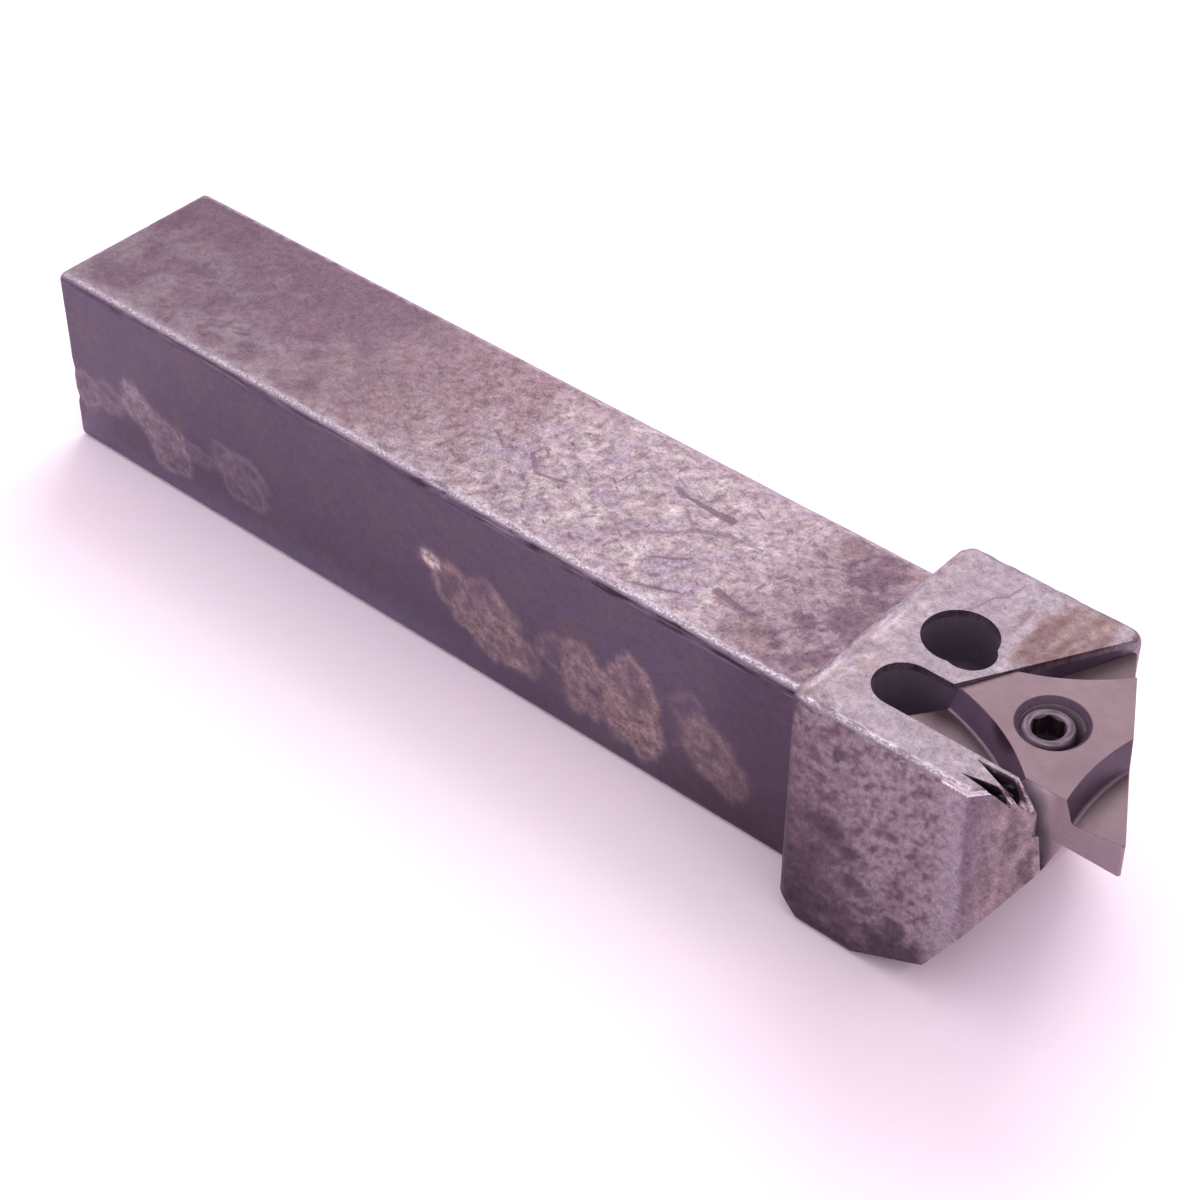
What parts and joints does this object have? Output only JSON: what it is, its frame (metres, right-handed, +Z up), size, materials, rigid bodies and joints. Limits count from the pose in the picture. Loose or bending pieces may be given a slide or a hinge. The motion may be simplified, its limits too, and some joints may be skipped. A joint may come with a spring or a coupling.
{
  "type": "turning tool",
  "caption": "Worn right-hand lathe tool holder: square shank, larger stepped head, and a three-cornered insert on a seat plate held by a cam lock pin.",
  "frame": {"origin": "middle of the shank's base, halfway along the shank", "axes": "+X along the shank towards the cutting tip, +Y towards the side away from the tip's offset, +Z up from the base"},
  "size_m": [0.1564, 0.0318, 0.0318],
  "materials": {
    "holder_steel": "worn, stained, dark oxide with bare bright edges",
    "carbide": "smooth ground satin",
    "seat_carbide": "ground satin",
    "pin_steel": "dark oiled steel"
  },
  "bodies": {
    "holder": {"holder": "holder_steel", "insert": "carbide", "seat_plate": "seat_carbide"},
    "lock_pin": {"lock_pin": "pin_steel"}
  },
  "joints": [
    {"name": "lock_pin_turn", "type": "hinge", "parent": "holder", "child": "lock_pin", "pos_m": [0.08256, -0.00459, 0.0233], "axis": [0, -0.0436, 0.999], "range_deg": [0, 180]}
  ]
}
